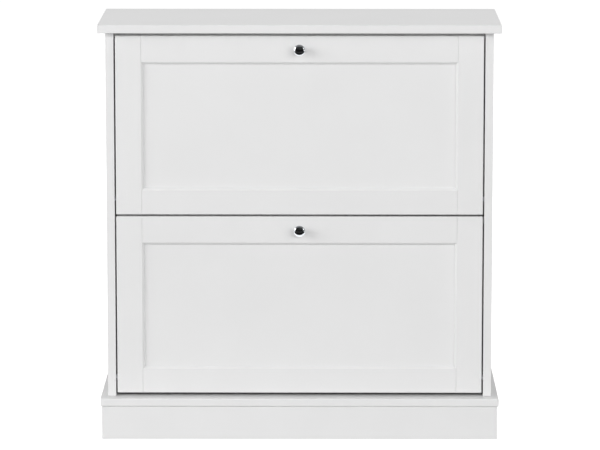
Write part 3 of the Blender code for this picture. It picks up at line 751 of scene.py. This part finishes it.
def addPin(node, faced, side, sign, nose):
    # pressed in the side panel, with a collar that ends just short of the faced node
    low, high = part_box(node)
    middle = (low + high) / 2
    near, far = reachOf(node, sign)
    face = reachOf(f"side_panel_{side}", sign)[0]
    tip, deep = face - near, far - face
    seat, edge = pivotFit["collarSeat"], pivotFit["collarEdge"]
    step = face - reachOf(faced, sign)[1] - seat
    collar = (high.z - low.z) / 2
    chamfer, shank = pivotFit["pinChamfer"], pivotFit["pinRadius"]
    profile = [
        (0, tip), (nose - chamfer, tip), (nose, tip - chamfer), (nose, step), (collar - edge, step),
        (collar, step - edge), (collar, seat + edge), (collar - edge, seat), (shank, seat),
        (shank, -deep), (0, -deep),
    ]
    place = Vector((sign * face, middle.y, middle.z))
    addPiece(pieceName(node), turned(profile, place, -sign * xAxis), [node], crease=25)


def addPivots(flap):
    for side, sign in sides.items():
        pivotPin, stopPin = f"{flap}_pivot_pin_{side}", f"{flap}_stop_pin_{side}"
        addPin(pivotPin, f"{flap}_stile_{side}", side, sign, pivotFit["pinRadius"])
        addPin(stopPin, f"{flap}_cheek_{side}", side, sign, pivotFit["stopRadius"])
        node = f"{flap}_bush_{side}"
        low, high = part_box(node)
        middle = (low + high) / 2
        outer = (high.z - low.z) / 2
        inner = pivotFit["pinRadius"] + pivotFit["running"]
        length, lip = high.x - low.x, pivotFit["bushLip"]
        profile = [
            (outer - lip, 0), (outer, -lip), (outer, -length),
            (inner, -length), (inner, -lip), (inner + lip, 0)]
        place = Vector((sign * reachOf(node, sign)[1], middle.y, middle.z))
        addPiece(pieceName(node), turned(profile, place, sign * xAxis, ring=True), [node], crease=25)


for flap in flaps:
    addPivots(flap)
print("pivots made")


# Side cheeks of the shoe trays
cheekShape = {
    "cornerRounding": 12 * mm, "edge": 0.7 * mm, "cut": 5 * mm,
    "arcSteps": 72, "slotSteps": 24, "roundSteps": 12,
}


def addCheek(flap, side):
    node = f"{flap}_cheek_{side}"
    low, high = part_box(node)
    joint = hingeOf[bodyOf[node]]
    pivot = Vector(joint["pos_m"])
    front, back = low.y - pivot.y, high.y - pivot.y
    radius = math.hypot(high.z - pivot.z, front)
    corners = [(front, low.z - pivot.z), (back, low.z - pivot.z)]
    curve = arcPoints(
        (0, 0), radius, math.acos(back / radius), math.acos(front / radius), cheekShape["arcSteps"])
    steps, roundSteps, over = cheekShape["slotSteps"], cheekShape["roundSteps"], cheekShape["cut"]
    outline = roundCorners(corners + curve, [0, cheekShape["cornerRounding"]] + [0] * len(curve), roundSteps)
    pinLow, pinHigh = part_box(f"{flap}_stop_pin_{side}")
    stop = (pinLow + pinHigh) / 2 - pivot
    reach, angle = math.hypot(stop.y, stop.z), math.atan2(stop.z, stop.y)
    travel = math.radians(joint["range_deg"][1] - joint["range_deg"][0])
    half = pivotFit["stopRadius"] + pivotFit["slotPlay"]
    play = pivotFit["slotPlay"] / reach
    first, last = angle - travel - play, angle + play
    ends = [(reach * math.cos(a), reach * math.sin(a)) for a in (first, last)]
    slot = (
        arcPoints((0, 0), reach + half, first, last, steps)
        + arcPoints(ends[1], half, last, last + math.pi, roundSteps)[1:-1]
        + arcPoints((0, 0), reach - half, last, first, steps)
        + arcPoints(ends[0], half, first + math.pi, first + 2 * math.pi, roundSteps)[1:-1]
    )

    def placed(line):
        return [(pivot.y + y, pivot.z + z) for y, z in line]

    board = prism(placed(outline), 0, low.x, high.x)
    cut = prism(placed(slot), 0, low.x - over, high.x + over)
    cheek = combine(board, [cut], "DIFFERENCE")
    addPiece(pieceName(node), eased(cheek, cheekShape["edge"], segments=3), [node], crease=30)


for flap in flaps:
    for side in sides:
        addCheek(flap, side)
print("cheeks made")


# Bumpers: clear domes, pressed on the divider and the top stop rail
bumper = {"flat": 0.35, "footEdge": 0.1 * mm, "footShare": 0.98, "domeSteps": 12, "steps": 48}


def addBumpers():
    for level in flaps:
        for side in sides:
            node = f"bumper_{level}_{side}"
            low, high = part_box(node)
            middle = (low + high) / 2
            radius, height = (high.x - low.x) / 2, high.y - low.y
            foot = height * bumper["flat"]
            angles = [math.pi / 2 * step / bumper["domeSteps"] for step in range(bumper["domeSteps"] + 1)]
            profile = [(radius * math.sin(a), foot + (height - foot) * math.cos(a)) for a in angles]
            profile += [(radius, bumper["footEdge"]), (radius * bumper["footShare"], 0), (0, 0)]
            place = Vector((middle.x, high.y, middle.z))
            addPiece(pieceName(node), turned(profile, place, -yAxis, bumper["steps"]), [node], crease=60)


addBumpers()
print("bumpers made")


# Small fixings
# They have no CAD node: screws through the tray's cheeks, angle brackets that hold the cheeks to
# the stiles, cover caps over the cam locks inside the carcass, and the nails of the back.
fixings = {
    # screws in a cheek: steps along a sole board from its middle, and turns in degrees
    "soleScrews": (-60 * mm, 60 * mm), "soleScrewTurn": 25, "soleScrewTurnStep": 40,
    "upperRowTurn": 30, "toeScrewTurn": 70,
    "bracketLeg": 20 * mm, "bracketWidth": 16 * mm, "bracketThick": 1.6 * mm,
    "bracketHeights": (20 * mm, 150 * mm, 290 * mm),  # above the hinge
    "bracketEdge": 0.25 * mm, "bracketHole": 2.2 * mm, "bracketHolePlace": 0.62, "bracketSeat": 0.05 * mm,
    "foldOutside": 1.2, "foldInside": 0.5,  # of the strip's thickness
    "stileScrewTurns": (15, 65, 115), "cheekScrewTurns": (60, 25, -10), "wallScrewTurns": (30, 55),
    "capRadius": 8.5 * mm, "capHeight": 1.1 * mm, "capInset": 34 * mm,
    "nailHead": 1.6 * mm, "nailHeight": 0.5 * mm, "nailSpacing": 95 * mm, "nailInset": 8 * mm,
    "nailDrift": 1.2 * mm, "nailDriftScale": 37, "nailSeed": 1,
    "wallBracketThick": 2 * mm,
}
# shares of a cover cap's and a nail head's radius and height, from the middle outwards
capLine = ((0, 1.0), (0.55, 0.97), (0.86, 0.80), (0.97, 0.45), (1.0, 0.12), (1.0, 0))
nailLine = ((0, 1.0), (0.7, 0.92), (1.0, 0.5), (0.96, 0), (0, 0))


def rowPlanes(flap, row):
    # a tilted board's middle and the direction it slopes in, read from its own corners
    node = f"{flap}_sole_board_{row}"
    spots = [vertex.co.copy() for vertex in frame["nodes"][node].data.vertices]
    centre = sum(spots, Vector()) / len(spots)
    backmost = max(spots, key=lambda spot: spot.y)
    frontmost = min(spots, key=lambda spot: spot.y)
    slope = Vector((0, backmost.y - frontmost.y, backmost.z - frontmost.z)).normalized()
    return centre, slope


def addTrayScrews(flap, side, sign):
    outer = sign * reachOf(f"{flap}_cheek_{side}", sign)[1]
    head = screwMesh(raisedScrew)
    stands = []
    for row in flaps:
        centre, slope = rowPlanes(flap, row)
        turn = fixings["soleScrewTurn"] + (fixings["upperRowTurn"] if row == "upper" else 0)
        for i, along in enumerate(fixings["soleScrews"]):
            spot = Vector((outer, centre.y, centre.z)) + slope * along
            stands.append(standing(spot, sign * xAxis, turn + fixings["soleScrewTurnStep"] * i))
        toeLow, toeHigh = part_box(f"{flap}_toe_board_{row}")
        toe = (toeLow + toeHigh) / 2
        stands.append(standing(Vector((outer, toe.y, toe.z)), sign * xAxis, fixings["toeScrewTurn"]))
    name = f"{flap}TrayScrews{side.capitalize()}"
    addPiece(name, copies(head, stands), body=f"{flap}_flap", slot="zinc_steel")


def angleBracket():
    # folded from strip: legs along +X and +Y from the inner corner, rounded at the fold
    leg, thick, half = fixings["bracketLeg"], fixings["bracketThick"], fixings["bracketWidth"] / 2
    drill, along, over = fixings["bracketHole"], leg * fixings["bracketHolePlace"], 4 * mm
    points = [(0, 0), (leg, 0), (leg, thick), (thick, thick), (thick, leg), (0, leg)]
    outside, inside = thick * fixings["foldOutside"], thick * fixings["foldInside"]
    line = roundCorners(points, [outside, 0, 0, inside, 0, 0], steps=5)
    body = prism(line, 2, -half, half)
    plate = eased(body, fixings["bracketEdge"], segments=2)
    bore = [(0, over), (drill, over), (drill, -over), (0, -over)]
    spots = ((Vector((along, 0, 0)), yAxis), (Vector((0, along, 0)), xAxis))
    holes = [turned(bore, spot, axis, steps=24) for spot, axis in spots]
    return combine(plate, holes, "DIFFERENCE")


def addCheekBrackets(flap, side, sign):
    # x runs from the cheek towards the middle and y from the stile towards the back
    inner = sign * reachOf(f"{flap}_cheek_{side}", sign)[0]
    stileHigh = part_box(f"{flap}_stile_{side}")[1]
    pivot = Vector(hingeOf[f"{flap}_flap"]["pos_m"])
    seat, thick = fixings["bracketSeat"], fixings["bracketThick"]
    leg = fixings["bracketLeg"] * fixings["bracketHolePlace"]
    corner = Vector((inner - sign * seat, stileHigh.y + seat, 0))
    mirror = Matrix.Diagonal((-sign, 1, 1, 1))
    plate = angleBracket()
    head = screwMesh(panScrew)
    plates, heads = [], []
    turns = zip(fixings["bracketHeights"], fixings["stileScrewTurns"], fixings["cheekScrewTurns"])
    for height, stileTurn, cheekTurn in turns:
        spot = corner + zAxis * (pivot.z + height)
        plates.append(Matrix.Translation(spot) @ mirror)
        heads.append(standing(spot + Vector((-sign * leg, thick, 0)), yAxis, stileTurn))
        heads.append(standing(spot + Vector((-sign * thick, leg, 0)), -sign * xAxis, cheekTurn))
    word = side.capitalize()
    addPiece(f"{flap}CheekBrackets{word}", copies(plate, plates), body=f"{flap}_flap", slot="zinc_steel")
    addPiece(f"{flap}BracketScrews{word}", copies(head, heads), body=f"{flap}_flap", slot="zinc_steel")


def capMesh():
    radius, height = fixings["capRadius"], fixings["capHeight"]
    profile = [(radius * across, height * up) for across, up in capLine]
    return turned(flowing(profile, steps=4) + [(0, 0)], Vector(), zAxis, steps=48)


def addCarcassCaps():
    # over the cam locks: on the sides near the base and the top, and under the divider
    cap = capMesh()
    dividerLow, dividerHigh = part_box("divider_shelf")
    inset = fixings["capInset"]
    for side, sign in sides.items():
        low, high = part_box(f"side_panel_{side}")
        inner = sign * reachOf(f"side_panel_{side}", sign)[0]
        stands = []
        for z in (low.z + inset, high.z - inset):
            for y in (low.y + 3 * inset, high.y - 2 * inset):
                stands.append(standing(Vector((inner, y, z)), -sign * xAxis))
        for y in (dividerLow.y + inset, dividerHigh.y - 2 * inset):
            spot = Vector((sign * (dividerHigh.x - inset), y, dividerLow.z))
            stands.append(standing(spot, -zAxis))
        addPiece(f"camCaps{side.capitalize()}", copies(cap, stands), body="carcass", slot="white_plastic")


def addBackNails():
    # driven round the edge of the back, a little uneven as by hand
    low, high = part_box("back_panel_lower")[0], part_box("back_panel_upper")[1]
    inset, spacing = fixings["nailInset"], fixings["nailSpacing"]
    radius, height = fixings["nailHead"], fixings["nailHeight"]
    head = turned([(radius * across, height * up) for across, up in nailLine], Vector(), zAxis, steps=20)
    spots = []
    across = round((high.x - low.x - 2 * inset) / spacing)
    for i in range(across + 1):
        x = low.x + inset + (high.x - low.x - 2 * inset) * i / across
        spots += [(x, low.z + inset), (x, high.z - inset)]
    up = round((high.z - low.z - 2 * inset) / spacing)
    for i in range(1, up):
        z = low.z + inset + (high.z - low.z - 2 * inset) * i / up
        spots += [(low.x + inset, z), (high.x - inset, z)]
    stands = []
    noise.seed_set(fixings["nailSeed"])
    for x, z in spots:
        drift = noise.noise_vector(Vector((x, 0, z)) * fixings["nailDriftScale"]) * fixings["nailDrift"]
        stands.append(standing(Vector((x + drift.x, high.y, z + drift.z)), yAxis))
    addPiece("backNails", copies(head, stands), body="carcass", slot="zinc_steel")


def addWallBracketScrews():
    head = screwMesh(panScrew)
    stands = []
    for side in sides:
        low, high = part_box(f"wall_bracket_{side}")
        x, thick = (low.x + high.x) / 2, fixings["wallBracketThick"]
        foot = Vector((x, (low.y + high.y) / 2 - thick / 2, high.z - thick))
        leg = Vector((x, high.y - thick, (low.z + high.z) / 2 - thick / 2))
        footTurn, legTurn = fixings["wallScrewTurns"]
        stands += [standing(foot, -zAxis, footTurn), standing(leg, -yAxis, legTurn)]
    addPiece("wallBracketScrews", copies(head, stands), body="carcass", slot="zinc_steel")


for flap in flaps:
    for side, sign in sides.items():
        addTrayScrews(flap, side, sign)
        addCheekBrackets(flap, side, sign)
addCarcassCaps()
addBackNails()
addWallBracketScrews()
print("fixings made")


# Studio
# A pale seamless floor, broad soft lights low on the left and right and low in front, one behind
# for the top and the back, a weak one overhead for the ledges, an even room light, and dark cards
# that only the chrome sees.
studioLights = {
    "key": {"power": 260, "azimuth": -56, "elevation": 16, "distance": 8.0, "size": (5.6, 2.6)},
    "fill": {"power": 178, "azimuth": 32, "elevation": 16, "distance": 8.0, "size": (5.6, 2.6)},
    "front": {"power": 106, "azimuth": -4, "elevation": 16, "distance": 8.0, "size": (5.0, 2.6)},
    "back": {"power": 153, "azimuth": 178, "elevation": 40, "distance": 7.0, "size": (5.0, 3.0)},
    "overhead": {"power": 12, "azimuth": 0, "elevation": 82, "distance": 4.0, "size": (3.0, 1.2)},
}
studioRoom = {
    "light": 0.3,
    "backdrop": 1.0,          # what the camera sees beyond the floor
    "floor": "#F2F2F2",
    "floorGlow": 0.8,
    "bounce": "#B0B0B0",
    "aim": (0, 0, 0.5),
    "sheetHalf": 40, "sheetThick": 0.05, "boardDrop": 0.5 * mm,
    "sheetRoughness": (0.75, 0.85), "sheetHaze": 0.7, "sheetGloss": 0.2,
}
# each card is a box from its lowest to its highest corner: one round the camera, one on the floor
darkCards = {
    "cameraCard": ((-2.8, -3.22, -0.2), (2.8, -3.2, 2.6)),
    "floorCard": ((-2.8, -3.2, 0.02), (2.8, -0.75, 0.03)),
}
cardFlock = {"colours": ("#0C0C0C", "#080808"), "pile": 6 * mm, "roughness": (0.9, 1.0)}


def addSheet(name, height, colour, glow):
    half = studioRoom["sheetHalf"]
    outline = [(-half, -half), (half, -half), (half, half), (-half, half)]
    mesh = prism(outline, 2, height - studioRoom["sheetThick"], height)
    material, tree, place, shader = startMaterial(name)
    haze = addNode(tree, "ShaderNodeTexNoise", inputs={
        "Vector": place, "Scale": studioRoom["sheetHaze"], "Detail": 2.0})
    low, high = studioRoom["sheetRoughness"]
    addNode(tree, "ShaderNodeMapRange", inputs={"Value": haze.outputs[0], "To Min": low, "To Max": high},
            feeds={"Result": shader.inputs["Roughness"]})
    shader.inputs["Base Color"].default_value = hexColour(colour)
    shader.inputs["Specular IOR Level"].default_value = studioRoom["sheetGloss"]
    shader.inputs["Emission Color"].default_value = (1, 1, 1, 1)
    shader.inputs["Emission Strength"].default_value = glow
    mesh.materials.append(material)
    sheet = bpy.data.objects.new(name, mesh)
    studio.objects.link(sheet)
    return sheet


def addFloor():
    # the lit acrylic sheet is what the eye sees; a plain matt board under it bounces the light
    lit = addSheet("litAcrylicFloor", 0, studioRoom["floor"], studioRoom["floorGlow"])
    lit.visible_diffuse = False
    lit.visible_shadow = False
    board = addSheet("mattBounceBoard", -studioRoom["boardDrop"], studioRoom["bounce"], 0)
    board.visible_camera = False
    board.visible_glossy = False


def addLight(name, values):
    data = bpy.data.lights.new(name, "AREA")
    data.shape = "RECTANGLE"
    data.size, data.size_y = values["size"]
    data.energy = values["power"]
    light = bpy.data.objects.new(name, data)
    aim = Vector(studioRoom["aim"])
    azimuth, elevation = math.radians(values["azimuth"]), math.radians(values["elevation"])
    away = Vector((
        math.sin(azimuth) * math.cos(elevation), -math.cos(azimuth) * math.cos(elevation),
        math.sin(elevation)))
    light.location = aim + away * values["distance"]
    light.rotation_euler = away.to_track_quat("Z", "Y").to_euler()
    light.visible_camera = False
    studio.objects.link(light)


def addCards():
    material, tree, place, shader = startMaterial("blackFlock")
    pile = addNode(tree, "ShaderNodeTexNoise", inputs={"Vector": place, "Scale": 1 / cardFlock["pile"]})
    varySurface(tree, shader, pile.outputs[0], pile.outputs[0], cardFlock)
    for name, (low, high) in darkCards.items():
        outline = [(low[0], low[1]), (high[0], low[1]), (high[0], high[1]), (low[0], high[1])]
        mesh = prism(outline, 2, low[2], high[2])
        mesh.materials.append(material)
        card = bpy.data.objects.new(name, mesh)
        for ray in ("camera", "diffuse", "transmission", "volume_scatter", "shadow"):
            setattr(card, "visible_" + ray, False)
        studio.objects.link(card)


def addRoom():
    world = bpy.data.worlds.new("room")
    world.use_nodes = True
    tree = world.node_tree
    ray = addNode(tree, "ShaderNodeLightPath").outputs["Is Camera Ray"]
    background = tree.nodes["Background"]
    background.inputs["Color"].default_value = (1, 1, 1, 1)
    addNode(tree, "ShaderNodeMapRange", inputs={
        "Value": ray, "To Min": studioRoom["light"], "To Max": studioRoom["backdrop"]},
            feeds={"Result": background.inputs["Strength"]})
    bpy.context.scene.world = world


camera = {
    "distance": 8.0, "lens": 222.1, "sensor": 36, "clipEnd": 200,
    "x": 0.046, "height": 1.788, "pitch": 9.28, "yaw": 0.32,
}


def addCamera():
    data = bpy.data.cameras.new("camera")
    data.lens = camera["lens"]
    data.sensor_width = camera["sensor"]
    view = bpy.data.objects.new("camera", data)
    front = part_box("top_board")[0].y
    view.location = (camera["x"], front - camera["distance"], camera["height"])
    view.rotation_euler = (math.radians(90 - camera["pitch"]), 0, math.radians(camera["yaw"]))
    data.clip_end = camera["clipEnd"]
    studio.objects.link(view)
    bpy.context.scene.camera = view


addFloor()
for name, values in studioLights.items():
    addLight(name, values)
addCards()
addRoom()
addCamera()
bpy.context.scene.view_settings.view_transform = "Standard"
print("studio made")
